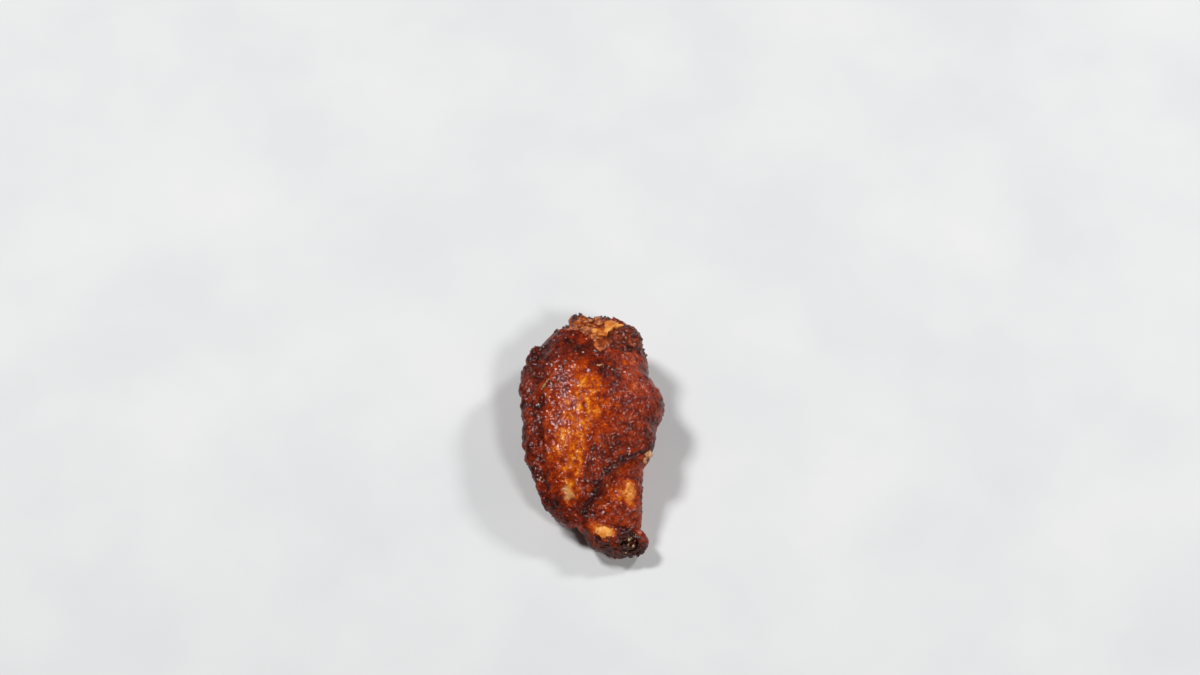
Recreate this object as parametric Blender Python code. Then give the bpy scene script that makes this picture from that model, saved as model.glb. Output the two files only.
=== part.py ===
"""A fried chicken drumette, the upper joint of a wing, lying with its browned face up.

The knuckle of the elbow points along -Y and the thick shoulder end along +Y. X is across the
wing and Z is up. Places are written in millimetres: along the wing from the knuckle's tip,
across it from its middle line, and up from the surface it lies on. Two nodes are made:
drumette_meat, the skin-covered meat, and humerus_bone, the bone that runs through it and
shows at both ends.
"""

import bmesh
import bpy
from mathutils import Matrix, Vector, noise

MM = 0.001

# Driving sizes, in millimetres
ORIGIN_ALONG = 42.0
RING_SIDES = 14
FUSE_VOXEL = 1.7
BONE_CLEARANCE = 0.3
FLAT_SPOT_DEPTH = 0.2
LUMP_HEIGHT = 0.55
LUMP_SPACING = 7.0
CRAG_HEIGHT = 0.55
CRAG_SPACING = 2.9
CRAG_SHARE_BETWEEN_ENDS = 0.25
KNUCKLE_ALONG = 12.0
SHOULDER_ALONG = 72.0
WING_END_ALONG = 84.0

# Cross-sections of each long mass: along, left side, right side, underside, top.
# The apron is the skin that the muscle wears over the shank, down to the fold.
MUSCLE = (
    (6.2, -8.6, -3.4, 6.4, 10.2),
    (10.0, -13.2, -1.8, 3.8, 15.0),
    (15.5, -16.8, 1.6, 2.4, 18.8),
    (22.0, -19.0, 7.0, 0.9, 22.4),
    (30.0, -20.8, 18.2, -0.2, 25.8),
    (40.0, -22.4, 23.2, -1.0, 28.4),
    (50.0, -23.0, 24.6, -1.0, 29.6),
    (58.0, -23.6, 20.8, -0.5, 29.4),
    (66.0, -22.8, 20.2, 0.9, 28.0),
    (73.0, -19.0, 18.6, 3.8, 26.0),
    (79.0, -11.4, 14.8, 7.4, 24.4),
    (82.6, -6.8, 11.0, 11.0, 21.8),
)
SHANK = (
    (3.0, 1.0, 16.0, 2.2, 12.2),
    (9.0, -0.4, 18.0, 1.6, 13.8),
    (15.0, -1.2, 17.8, 2.0, 16.6),
    (22.0, -1.6, 17.6, 2.6, 19.8),
    (31.0, -3.0, 18.0, 3.0, 22.4),
    (40.0, -5.0, 17.0, 4.0, 24.4),
)
APRON = (
    (8.0, -10.0, -2.4, 8.0, 12.6),
    (11.4, -12.0, 0.6, 9.5, 16.0),
    (15.7, -12.0, 3.0, 12.5, 18.9),
    (19.0, -12.0, 5.4, 14.5, 20.8),
    (22.6, -10.0, 8.4, 16.0, 22.2),
    (26.0, -8.0, 13.2, 16.5, 22.9),
    (29.4, -4.0, 17.8, 14.5, 22.0),
    (33.5, 0.0, 20.6, 12.0, 21.0),
    (38.0, 4.0, 21.8, 9.0, 20.0),
)
BONE = (
    (2.0, 5.4, 12.6, 4.4, 9.6),
    (6.4, 4.0, 14.0, 3.8, 11.0),
    (11.0, 5.6, 12.6, 4.6, 10.8),
    (20.0, 5.4, 11.4, 6.0, 12.0),
    (40.0, 4.2, 10.4, 9.2, 15.4),
    (58.0, 1.4, 9.6, 11.2, 18.2),
    (68.0, -3.2, 11.4, 11.8, 20.6),
    (74.0, -4.6, 12.2, 12.2, 21.4),
    (77.6, -2.0, 10.4, 13.6, 20.6),
)

# Rolled edges of the skin: along, across, up, radius
LEFT_RIM = (
    (70.0, -17.9, 19.4, 2.0),
    (62.0, -20.8, 19.6, 3.0),
    (52.0, -20.8, 19.2, 3.4),
    (42.0, -20.4, 18.4, 3.5),
    (32.0, -19.6, 17.2, 3.5),
    (22.0, -17.2, 14.8, 3.2),
    (12.0, -12.9, 11.2, 2.4),
)
FOLD_LIP = (
    (38.0, 19.6, 15.6, 1.1),
    (33.5, 18.9, 17.6, 1.3),
    (29.4, 16.2, 19.3, 1.3),
    (26.0, 11.6, 20.7, 1.3),
    (22.6, 6.8, 20.3, 1.3),
    (19.0, 3.8, 18.8, 1.3),
    (15.7, 1.0, 16.9, 1.2),
    (11.4, -1.6, 14.1, 1.0),
    (8.0, -4.2, 11.2, 0.8),
)

# Round lumps: along, across, up, then their half sizes across, along and up
MEAT_LUMPS = (
    (4.0, 3.6, 7.0, 5.8, 5.6, 5.6),
    (2.2, 9.2, 5.5, 5.2, 5.2, 6.0),
    (2.2, 14.0, 5.8, 5.2, 4.2, 5.1),
    (71.4, 10.8, 19.8, 7.0, 7.2, 5.8),
    (81.2, -3.8, 19.2, 4.2, 2.2, 4.2),
    (80.4, 2.2, 17.6, 5.4, 3.0, 4.8),
    (48.6, 15.2, 15.4, 9.6, 10.6, 8.8),
    (37.0, 13.0, 14.6, 8.6, 13.0, 8.8),
    (54.0, 14.4, 16.0, 7.6, 8.5, 8.6),
    (8.4, -1.0, 8.2, 3.8, 5.0, 4.8),
    (13.4, 0.8, 10.8, 3.8, 5.4, 4.2),
)
BONE_LUMPS = (
    (4.3, 4.6, 7.1, 4.9, 4.8, 5.0),
    (2.9, 12.5, 6.7, 3.3, 3.5, 3.5),
    (76.6, 6.2, 17.6, 5.5, 4.6, 5.9),
    (73.6, -1.6, 16.4, 4.2, 4.0, 4.2),
)

# Openings that show the bone: one at the shoulder joint and two in the knuckle's crust
OPENINGS = (
    (79.4, 8.2, 25.4, 4.8, 5.2, 4.6),
    (2.6, 4.4, 12.6, 3.4, 2.5, 2.3),
    (-0.4, 12.6, 8.4, 3.2, 2.8, 2.8),
    (0.6, 15.2, 6.8, 1.9, 2.4, 2.2),
)
OPENING_RAGGEDNESS = 0.5
OPENING_RAG_SPACING = 1.9

# The notch where the skin has drawn back from the joint: it widens from its point
NOTCH_POINT_ALONG = 64.0
NOTCH_END_ALONG = 79.0
NOTCH_ACROSS = 2.6
NOTCH_HALF_WIDTH = 8.5
NOTCH_DEPTH = 1.6
NOTCH_SLOPE = 2.5
NOTCH_RUN_OUT = 1.3


def point(along, across, up):
    """A place on the wing as a point of the model, in metres."""
    return Vector((across * MM, (along - ORIGIN_ALONG) * MM, up * MM))


def material(name, colour, roughness):
    made = bpy.data.materials.new(name)
    made.use_nodes = True
    shader = made.node_tree.nodes["Principled BSDF"]
    shader.inputs["Base Color"].default_value = (*colour, 1.0)
    shader.inputs["Roughness"].default_value = roughness
    shader.inputs["Metallic"].default_value = 0.0
    return made


def mesh_object(name, bm, finish=None):
    """Puts a bmesh into the scene as a named, smooth-shaded object."""
    mesh = bpy.data.meshes.new(name)
    bm.to_mesh(mesh)
    bm.free()
    mesh.shade_smooth()
    if finish is not None:
        mesh.materials.append(finish)
    obj = bpy.data.objects.new(name, mesh)
    bpy.context.scene.collection.objects.link(obj)
    return obj


def evaluated_copy(obj):
    """The object's mesh with its modifiers worked in; the object itself is removed."""
    bpy.context.view_layer.update()
    graph = bpy.context.evaluated_depsgraph_get()
    mesh = bpy.data.meshes.new_from_object(obj.evaluated_get(graph))
    bpy.data.objects.remove(obj)
    return mesh


def loft(bm, sections, grow=0.0):
    """One closed body through cross-sections: a disc is extruded from section to section."""
    start = bmesh.ops.create_circle(bm, cap_ends=True, radius=1.0, segments=RING_SIDES)
    disc = [(v.co.x, v.co.y) for v in start["verts"]]
    face = start["verts"][0].link_faces[0]
    for index, (along, left, right, under, top) in enumerate(sections):
        if index:
            made = bmesh.ops.extrude_face_region(bm, geom=[face])
            if index > 1:
                bmesh.ops.delete(bm, geom=[face], context="FACES_ONLY")
            face = next(g for g in made["geom"] if isinstance(g, bmesh.types.BMFace))
        if index == 0:
            along -= grow
        if index == len(sections) - 1:
            along += grow
        for vert, (unit_x, unit_z) in zip(face.verts, disc):
            across = (left + right) / 2 + unit_x * ((right - left) / 2 + grow)
            up = (under + top) / 2 + unit_z * ((top - under) / 2 + grow)
            vert.co = point(along, across, up)
    return bm


def rounded(name, sections, levels, grow=0.0):
    """A lofted body with its sections smoothed into one surface."""
    bm = loft(bmesh.new(), sections, grow)
    bmesh.ops.recalc_face_normals(bm, faces=bm.faces)
    obj = mesh_object(name, bm)
    smooth = obj.modifiers.new("smooth", "SUBSURF")
    smooth.levels = smooth.render_levels = levels
    return evaluated_copy(obj)


def roll(name, stations):
    """A rolled edge of skin: a round tube through the stations, with its own radius at each."""
    curve = bpy.data.curves.new(name, "CURVE")
    curve.dimensions = "3D"
    curve.bevel_depth = MM
    curve.bevel_resolution = 3
    curve.use_fill_caps = True
    curve.resolution_u = 6
    spline = curve.splines.new("NURBS")
    spline.points.add(len(stations) - 1)
    spline.order_u = 4
    spline.use_endpoint_u = True
    for control, (along, across, up, radius) in zip(spline.points, stations):
        control.co = (*point(along, across, up), 1.0)
        control.radius = radius
    obj = bpy.data.objects.new(name, curve)
    bpy.context.scene.collection.objects.link(obj)
    return evaluated_copy(obj)


def ball(bm, along, across, up, half_across, half_along, half_up, detail=2):
    size = Matrix.Diagonal((half_across * MM, half_along * MM, half_up * MM, 1.0))
    place = Matrix.Translation(point(along, across, up)) @ size
    bmesh.ops.create_icosphere(bm, subdivisions=detail, radius=1.0, matrix=place)


def fused(name, meshes, voxel):
    """Overlapping bodies made one skin, as meat and its folded skin are."""
    bm = bmesh.new()
    for mesh in meshes:
        bm.from_mesh(mesh)
    for lump in MEAT_LUMPS:
        ball(bm, *lump, detail=3)
    obj = mesh_object(name, bm)
    fuse = obj.modifiers.new("fuse", "REMESH")
    fuse.mode = "VOXEL"
    fuse.voxel_size = voxel * MM
    return evaluated_copy(obj)


def craggy(along):
    """How craggy the crust is at a distance along the wing: most at its two cut ends."""
    near_knuckle = max(0.0, 1.0 - along / KNUCKLE_ALONG)
    near_shoulder = max(0.0, (along - SHOULDER_ALONG) / (WING_END_ALONG - SHOULDER_ALONG))
    return min(1.0, CRAG_SHARE_BETWEEN_ENDS + near_knuckle + near_shoulder)


def notch(along, across, facing_up):
    """How far the surface sinks at the notch in the skin of the top face."""
    run = (along - NOTCH_POINT_ALONG) / (NOTCH_END_ALONG - NOTCH_POINT_ALONG)
    if facing_up < 0.0 or not 0.0 < run < NOTCH_RUN_OUT:
        return 0.0
    aside = abs(across - NOTCH_ACROSS) / (NOTCH_HALF_WIDTH * run)
    return NOTCH_DEPTH * max(0.0, 1.0 - aside**2) * min(1.0, NOTCH_SLOPE * run)


def relief(bm):
    """Pushes the surface in and out along its normals for the lumps and crags of fried skin."""
    bm.normal_update()
    moves = []
    for vert in bm.verts:
        place = vert.co / MM
        along = place.y + ORIGIN_ALONG
        lumps = noise.noise(place / LUMP_SPACING) * LUMP_HEIGHT
        crags = noise.noise(place / CRAG_SPACING) * CRAG_HEIGHT
        rise = lumps + crags * craggy(along) - notch(along, place.x, vert.normal.z)
        moves.append(vert.normal * rise * MM)
    for vert, move in zip(bm.verts, moves):
        vert.co += move


def flatten_underside(bm):
    """Small flat spots where the meat and the knuckle rest, each made one face."""
    for vert in bm.verts:
        if vert.co.z < FLAT_SPOT_DEPTH * MM:
            vert.co.z = 0.0
    resting = [face for face in bm.faces if all(vert.co.z == 0.0 for vert in face.verts)]
    bmesh.ops.dissolve_faces(bm, faces=resting)


def cut(obj, name, cutter_mesh):
    """Takes a cutter away from the object; the cutter stays as a hidden guide."""
    cutter = bpy.data.objects.new(name, cutter_mesh)
    bpy.context.scene.collection.objects.link(cutter)
    cutter.hide_render = True
    cutter.display_type = "WIRE"
    boolean = obj.modifiers.new(name, "BOOLEAN")
    boolean.operation = "DIFFERENCE"
    boolean.solver = "EXACT"
    boolean.object = cutter


def ragged_ball(name, opening):
    """A cutter for a break in the crust: a ball with an uneven, torn outline."""
    bm = bmesh.new()
    ball(bm, *opening)
    bm.normal_update()
    for vert in bm.verts:
        torn = noise.noise(vert.co / MM / OPENING_RAG_SPACING) * OPENING_RAGGEDNESS
        vert.co += vert.normal * torn * MM
    mesh = bpy.data.meshes.new(name)
    bm.to_mesh(mesh)
    bm.free()
    return mesh


def bone_shape(name, grow=0.0):
    """The humerus: a lofted shaft with the round knobs of its two joints joined on."""
    shaft = bpy.data.objects.new(name, rounded(name, BONE, 1, grow))
    bpy.context.scene.collection.objects.link(shaft)
    helpers = []
    for number, (along, across, up, *halves) in enumerate(BONE_LUMPS):
        bm = bmesh.new()
        ball(bm, along, across, up, *(half + grow for half in halves))
        knob = mesh_object(f"{name}_knob_{number}", bm)
        join = shaft.modifiers.new(knob.name, "BOOLEAN")
        join.operation = "UNION"
        join.solver = "EXACT"
        join.object = knob
        helpers.append(knob)
    mesh = evaluated_copy(shaft)
    for knob in helpers:
        bpy.data.objects.remove(knob)
    return mesh


def make_meat():
    finish = material("fried_skin", (0.27, 0.055, 0.018), 0.38)
    bodies = [
        rounded("muscle", MUSCLE, 2),
        rounded("shank", SHANK, 2),
        rounded("apron", APRON, 2),
        roll("left_rim", LEFT_RIM),
        roll("fold_lip", FOLD_LIP),
    ]
    bm = bmesh.new()
    bm.from_mesh(fused("meat_masses", bodies, FUSE_VOXEL))
    relief(bm)
    flatten_underside(bm)
    meat = mesh_object("drumette_meat", bm, finish)
    for number, opening in enumerate(OPENINGS):
        name = f"cut_opening_{number}"
        cut(meat, name, ragged_ball(name, opening))
    cut(meat, "cut_bone_way", bone_shape("bone_way", BONE_CLEARANCE))
    return meat


def make_bone():
    finish = material("bone_and_cartilage", (0.62, 0.28, 0.07), 0.42)
    bm = bmesh.new()
    bm.from_mesh(bone_shape("bone_shape"))
    return mesh_object("humerus_bone", bm, finish)


def main():
    for obj in list(bpy.data.objects):
        bpy.data.objects.remove(obj)
    make_meat()
    make_bone()


main()
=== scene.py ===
# %% [markdown]
# # A fried chicken drumette
#
# This lesson dresses one drumette, the upper joint of a chicken wing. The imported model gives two
# plain solids, the meat and the bone. We give them the things the eye looks for in fried chicken:
# pebbled skin that browns unevenly, a fold of skin over the shank, torn meat at the shoulder, and
# yellow cartilage breaking through a charred crust. Everything is written in millimetres along,
# across and up from the surface that the drumette lies on.

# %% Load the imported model
import math
import random

import bmesh
import bpy
import numpy as np
from mathutils import Euler, Matrix, Vector, noise
from mathutils.bvhtree import BVHTree


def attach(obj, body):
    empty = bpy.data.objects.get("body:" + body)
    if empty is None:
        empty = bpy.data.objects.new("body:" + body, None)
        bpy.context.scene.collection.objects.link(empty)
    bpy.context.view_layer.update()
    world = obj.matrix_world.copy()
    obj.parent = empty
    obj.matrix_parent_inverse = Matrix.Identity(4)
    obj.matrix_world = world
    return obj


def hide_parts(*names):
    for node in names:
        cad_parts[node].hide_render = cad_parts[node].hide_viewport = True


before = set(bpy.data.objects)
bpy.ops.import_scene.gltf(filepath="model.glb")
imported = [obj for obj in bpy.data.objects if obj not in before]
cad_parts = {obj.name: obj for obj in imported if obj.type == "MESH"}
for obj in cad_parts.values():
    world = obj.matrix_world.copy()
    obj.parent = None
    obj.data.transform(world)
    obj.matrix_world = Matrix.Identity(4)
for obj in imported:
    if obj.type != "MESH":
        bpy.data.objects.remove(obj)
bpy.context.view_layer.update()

MM = 0.001
ORIGIN_ALONG = 42.0


def point(along, across, up):
    """A place on the wing, in millimetres, as a point of the scene in metres."""
    return Vector((across * MM, (along - ORIGIN_ALONG) * MM, up * MM))


# %% [markdown]
# ## The camera
#
# The drumette was photographed leaning up steeply, seen from just above the table. Here it lies
# down, so we look down on it by the same angle between the lens and the bone. A long lens from
# about a metre away keeps the perspective as flat as in a product photograph.

# %% Camera
CAMERA_ELEVATION = 58.0
CAMERA_DISTANCE = 0.981
CAMERA_TARGET = Vector((0.0030, 0.0351, 0.015))

lens = bpy.data.cameras.new("studio_camera")
lens.lens = 85.0
lens.sensor_width = 36.0
lens.clip_start = 0.01
camera = bpy.data.objects.new("studio_camera", lens)
bpy.context.scene.collection.objects.link(camera)
towards_lens = Vector((0.0, -math.cos(math.radians(CAMERA_ELEVATION)),
                       math.sin(math.radians(CAMERA_ELEVATION))))
camera.location = CAMERA_TARGET + towards_lens * CAMERA_DISTANCE
camera.rotation_euler = (-towards_lens).to_track_quat("-Z", "Y").to_euler()
bpy.context.scene.camera = camera
print("camera at", [round(v, 3) for v in camera.location])

# %% [markdown]
# ## Small helpers for meshes
#
# A piece starts as a bmesh, is put into the scene once, and is then finished by modifiers. They
# could stay live on their objects, but we work them in at once and keep the result, because the
# later sculpting steps move real vertices.

# %% Helpers for meshes
def new_object(name, data):
    """Puts data into the scene as an object at the origin."""
    obj = bpy.data.objects.new(name, data)
    bpy.context.scene.collection.objects.link(obj)
    return obj


def smooth_object(name, mesh):
    """Puts a mesh into the scene, shaded smooth."""
    mesh.shade_smooth()
    return new_object(name, mesh)


def mesh_object(name, bm):
    """Puts a bmesh into the scene as a smooth-shaded object."""
    mesh = bpy.data.meshes.new(name)
    bm.to_mesh(mesh)
    bm.free()
    return smooth_object(name, mesh)


def worked_in(obj):
    """The object's mesh with its modifiers worked in; the object is removed."""
    bpy.context.view_layer.update()
    graph = bpy.context.evaluated_depsgraph_get()
    mesh = bpy.data.meshes.new_from_object(obj.evaluated_get(graph))
    bpy.data.objects.remove(obj)
    return mesh


def fused(name, meshes, voxel, smooth_rounds):
    """Overlapping bodies melted into one skin by a voxel remesh, then relaxed."""
    bm = bmesh.new()
    for mesh in meshes:
        bm.from_mesh(mesh)
    obj = mesh_object(name, bm)
    melt = obj.modifiers.new("melt", "REMESH")
    melt.mode = "VOXEL"
    melt.voxel_size = voxel * MM
    relax = obj.modifiers.new("relax", "SMOOTH")
    relax.factor = 0.5
    relax.iterations = smooth_rounds
    return worked_in(obj)


def balls(name, rows, detail=4):
    """One mesh of several ellipsoids, each given by its centre and half sizes."""
    bm = bmesh.new()
    for along, across, up, half_across, half_along, half_up in rows:
        size = Matrix.Diagonal((half_across * MM, half_along * MM, half_up * MM, 1.0))
        place = Matrix.Translation(point(along, across, up)) @ size
        bmesh.ops.create_icosphere(bm, subdivisions=detail, radius=1.0, matrix=place)
    return worked_in(mesh_object(name, bm))


def triangles(mesh):
    """How many triangles the mesh's faces make."""
    return sum(len(p.vertices) - 2 for p in mesh.polygons)


print("one millimetre of the wing is", MM, "units of the scene")

# %% [markdown]
# ## The masses of meat
#
# Meat on a bone is a few soft volumes that press into each other: the big muscle, the slim shank,
# the apron of skin that hangs over the shank, the rolled edges of the skin and some lumps. One
# ball could be sculpted by hand into all of them, but then no size would be written down. We give
# each volume as cross-sections, stations or half sizes in millimetres, which can be measured on
# real food and changed one at a time.

# %% Sizes of the masses
# along, left side, right side, underside, top
MUSCLE = (
    (6.2, -8.6, -3.4, 6.4, 10.2),
    (10.0, -13.2, -1.8, 3.8, 15.0),
    (15.5, -16.8, 1.6, 2.4, 18.8),
    (22.0, -19.0, 7.0, 0.9, 22.4),
    (30.0, -20.8, 18.2, -0.2, 25.8),
    (40.0, -22.4, 23.2, -1.0, 28.4),
    (50.0, -23.0, 24.6, -1.0, 29.6),
    (58.0, -23.6, 20.8, -0.5, 29.4),
    (66.0, -22.8, 20.2, 0.9, 28.0),
    (73.0, -19.0, 18.6, 3.8, 26.0),
    (79.0, -11.4, 14.8, 7.4, 24.4),
    (82.6, -6.8, 11.0, 11.0, 21.8),
)
SHANK = (
    (3.0, 1.0, 16.0, 2.2, 12.2),
    (9.0, -0.4, 18.0, 1.6, 13.8),
    (15.0, -1.2, 17.8, 2.0, 16.6),
    (22.0, -1.6, 17.6, 2.6, 19.8),
    (31.0, -3.0, 18.0, 3.0, 22.4),
    (40.0, -5.0, 17.0, 4.0, 24.4),
)
APRON = (
    (8.0, -10.0, -2.4, 8.0, 12.6),
    (11.4, -12.0, 0.6, 9.5, 16.0),
    (15.7, -12.0, 3.0, 12.5, 18.9),
    (19.0, -12.0, 5.4, 14.5, 20.8),
    (22.6, -10.0, 8.4, 16.0, 22.2),
    (26.0, -8.0, 13.2, 16.5, 22.9),
    (29.4, -4.0, 17.8, 14.5, 22.0),
    (33.5, 0.0, 20.6, 12.0, 21.0),
    (38.0, 4.0, 21.8, 9.0, 20.0),
)
# along, across, up, radius
LEFT_RIM = (
    (70.0, -17.9, 19.4, 2.0),
    (62.0, -20.8, 19.6, 3.0),
    (52.0, -20.8, 19.2, 3.4),
    (42.0, -20.4, 18.4, 3.5),
    (32.0, -19.6, 17.2, 3.5),
    (22.0, -17.2, 14.8, 3.2),
    (12.0, -12.9, 11.2, 2.4),
)
FOLD_LIP = (
    (38.0, 19.6, 15.6, 1.1),
    (33.5, 18.9, 17.6, 1.3),
    (29.4, 16.2, 19.3, 1.3),
    (26.0, 11.6, 20.7, 1.3),
    (22.6, 6.8, 20.3, 1.3),
    (19.0, 3.8, 18.8, 1.3),
    (15.7, 1.0, 16.9, 1.2),
    (11.4, -1.6, 14.1, 1.0),
    (8.0, -4.2, 11.2, 0.8),
)
# along, across, up, then half sizes across, along and up
MEAT_LUMPS = (
    (4.0, 3.6, 7.0, 5.8, 5.6, 5.6),
    (2.2, 9.2, 5.5, 5.2, 5.2, 6.0),
    (2.2, 14.0, 5.8, 5.2, 4.2, 5.1),
    (71.4, 10.8, 19.8, 7.0, 7.2, 5.8),
    (81.2, -3.8, 19.2, 4.2, 2.2, 4.2),
    (80.4, 2.2, 17.6, 5.4, 3.0, 4.8),
    (48.6, 15.2, 15.4, 9.6, 10.6, 8.8),
    (37.0, 13.0, 14.6, 8.6, 13.0, 8.8),
    (54.0, 14.4, 16.0, 7.6, 8.5, 8.6),
    (8.4, -1.0, 8.2, 3.8, 5.0, 4.8),
    (13.4, 0.8, 10.8, 3.8, 5.4, 4.2),
)
print("masses:", len(MUSCLE) + len(SHANK) + len(APRON), "sections and", len(MEAT_LUMPS), "lumps")

# %% [markdown]
# ## From cross-sections to one skin
#
# For each body a disc is extruded from section to section, and a subdivision surface rounds it.
# The rolled edges are curves with a round bevel. Boolean unions could join them, but they would
# leave sharp seams. A voxel remesh melts them into one closed surface with soft valleys, and its
# even vertices are fine enough to carry the skin's bumps.

# %% Loft, roll and melt
RING_SIDES = 14
SKIN_VOXEL = 0.37


def loft(bm, sections):
    """One closed body through cross-sections."""
    start = bmesh.ops.create_circle(bm, cap_ends=True, radius=1.0, segments=RING_SIDES)
    disc = [(v.co.x, v.co.y) for v in start["verts"]]
    face = start["verts"][0].link_faces[0]
    for index, (along, left, right, under, top) in enumerate(sections):
        if index:
            made = bmesh.ops.extrude_face_region(bm, geom=[face])
            if index > 1:
                bmesh.ops.delete(bm, geom=[face], context="FACES_ONLY")
            face = next(g for g in made["geom"] if isinstance(g, bmesh.types.BMFace))
        for vert, (unit_x, unit_z) in zip(face.verts, disc):
            across = (left + right) / 2 + unit_x * (right - left) / 2
            up = (under + top) / 2 + unit_z * (top - under) / 2
            vert.co = point(along, across, up)
    return bm


def rounded(name, sections, levels=3):
    """A lofted body, rounded by a subdivision surface."""
    bm = loft(bmesh.new(), sections)
    bmesh.ops.recalc_face_normals(bm, faces=bm.faces)
    obj = mesh_object(name, bm)
    smooth = obj.modifiers.new("smooth", "SUBSURF")
    smooth.levels = smooth.render_levels = levels
    return worked_in(obj)


def roll(name, stations):
    """A round tube through the stations, with its own radius at each."""
    curve = bpy.data.curves.new(name, "CURVE")
    curve.dimensions = "3D"
    curve.bevel_depth = MM
    curve.bevel_resolution = 4
    curve.use_fill_caps = True
    curve.resolution_u = 12
    spline = curve.splines.new("NURBS")
    spline.points.add(len(stations) - 1)
    spline.order_u = 4
    spline.use_endpoint_u = True
    for control, (along, across, up, radius) in zip(spline.points, stations):
        control.co = (*point(along, across, up), 1.0)
        control.radius = radius
    return worked_in(new_object(name, curve))


skin_mesh = fused(
    "skin_masses",
    [rounded("muscle", MUSCLE), rounded("shank", SHANK), rounded("apron", APRON),
     roll("left_rim", LEFT_RIM), roll("fold_lip", FOLD_LIP), balls("lumps", MEAT_LUMPS)],
    SKIN_VOXEL, smooth_rounds=6)
print("skin before sculpting:", len(skin_mesh.vertices), "vertices")

# %% [markdown]
# ## Brushes and noise for the sculpting
#
# We sculpt and paint with the same two tools. A brush is a path over the food with a radius: it
# gives 1 on the path and fades to 0 beside it. A mask painted by hand could do the same, but a
# path in millimetres can be read and changed. Noise gives everything that is too fine to place
# by hand. Both work on all vertices at once, from their places in millimetres.

# %% Brushes and noise
# How far a bleb reaches from its centre, as a share of the blebs' spacing
BLEB_REACH = 0.62


def distance_to(places, path):
    """Distance from each place to the nearest point of a path, in millimetres."""
    path = np.array(path, dtype=float)
    if len(path) == 1:
        return np.linalg.norm(places - path[0], axis=1)
    nearest = np.full(len(places), 1e9)
    for start, end in zip(path[:-1], path[1:]):
        run = end - start
        share = np.clip((places - start) @ run / (run @ run), 0.0, 1.0)
        nearest = np.minimum(nearest, np.linalg.norm(places - start - share[:, None] * run, axis=1))
    return nearest


def fade(value, low, high):
    """0 below low, 1 above high, and a soft step between."""
    share = np.clip((value - low) / (high - low), 0.0, 1.0)
    return share * share * (3.0 - 2.0 * share)


def brush(places, path, radius, softness, waver=0.0):
    """1 on a path, fading to 0 round its radius; waver makes the edge uneven."""
    return 1.0 - fade(distance_to(places, path) + waver, radius - softness, radius + softness)


def swell(places, size, stretch=(1.0, 1.0, 1.0), shift=0.0):
    """Smooth noise from about -1 to 1, with swells `size` millimetres apart."""
    scaled = places / (size * np.array(stretch)) + shift
    return np.array([noise.noise(Vector(place)) for place in scaled])


def blebs(places, size, stretch=(1.0, 1.0, 1.0), shift=0.0):
    """Round bumps `size` millimetres apart, each with its own height from 0 to 1."""
    scaled = places / (size * np.array(stretch)) + shift
    bumps = np.empty(len(places))
    heights = np.empty(len(places))
    for index, place in enumerate(scaled):
        distances, centres = noise.voronoi(Vector(place))
        bumps[index] = distances[0]
        heights[index] = noise.cell(centres[0]) * 0.5 + 0.5
    return np.clip(1.0 - (bumps / BLEB_REACH) ** 2, 0.0, 1.0), heights


def places_of(mesh):
    """Along, across and up of every vertex, in millimetres."""
    flat = np.empty(len(mesh.vertices) * 3)
    mesh.vertices.foreach_get("co", flat)
    xyz = flat.reshape(-1, 3) / MM
    return np.column_stack((xyz[:, 1] + ORIGIN_ALONG, xyz[:, 0], xyz[:, 2]))


def normals_of(mesh):
    """The normal of every vertex, as along, across and up."""
    flat = np.empty(len(mesh.vertices) * 3)
    mesh.vertex_normals.foreach_get("vector", flat)
    xyz = flat.reshape(-1, 3)
    return np.column_stack((xyz[:, 1], xyz[:, 0], xyz[:, 2]))


def put_places(mesh, places):
    """Moves every vertex to its place in millimetres."""
    xyz = np.column_stack((places[:, 1], places[:, 0] - ORIGIN_ALONG, places[:, 2])) * MM
    mesh.vertices.foreach_set("co", xyz.ravel())
    mesh.update()


sample = np.array(((0.0, 0.0, 0.0), (5.0, 0.0, 0.0)))
print("a brush on its path and 5 mm off it:", brush(sample, ((0, 0, 0),), 2.0, 1.0))

# %% [markdown]
# ## Where things are on the drumette
#
# The big features have names and places: the golden middle where thin skin lies over fat, the
# dark rolled rim on the left, the pebbled right flank, the fold over the shank, and the window
# where the skin has drawn back from the shoulder joint. Each could get its numbers where it is
# used. Sculpting and browning share one list instead, so that a dark edge is also a raised edge.

# %% Named paths on the surface, as along, across, up
RIM_LINE = [station[:3] for station in LEFT_RIM]
GOLDEN_BAND = ((49, -1.5, 28.5), (40, -3.4, 27.4), (33, -6, 25.7), (25, -6.4, 23),
               (19.6, -6.5, 20.6))
GOLDEN_LEFT = ((47, -12.4, 25.6), (38, -12, 24.8), (31, -12, 23.4), (25, -11.4, 21.8))
GOLDEN_RIGHT = ((45, 3.6, 28.2), (40, 3, 27.6), (34, 1.5, 26.2))
GOLDEN_TOP = ((59, -5, 28.4), (53, -3.4, 28.6))
RED_SHOULDER = ((63, 13, 24.2), (57, 14.5, 25), (53, 15, 24.8))
RIM_CREASE = ((57, -15.8, 24.2), (48, -16.6, 23.2), (41, -17, 22), (36, -17, 21.2),
              (27, -16.2, 19.8))
RIGHT_EDGE = ((60, 18, 19), (54, 20.4, 18), (48, 23.4, 18), (40, 22, 18), (33, 20.6, 17))
DARK_SHOULDER = ((73, -10.4, 24), (67, -13, 24.8), (63, -17, 23.4))
DARK_NAPE = ((66, -5.5, 27.4), (62, 3, 27.9), (56, 6, 28.2), (52, 8, 28))
LOBE_TIP = ((12.6, -14.6, 12), (9.4, -10, 12.4), (7.6, -5.4, 11.4))
FOLD_EDGE = ((33, 20.4, 17.3), (28.6, 16.4, 20), (25.6, 11.4, 21.6), (22.6, 6.8, 21.2),
             (19, 4, 20.4), (15.7, 2, 18.5), (11.4, -0.3, 16), (8.3, -2.3, 13.2))
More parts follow.
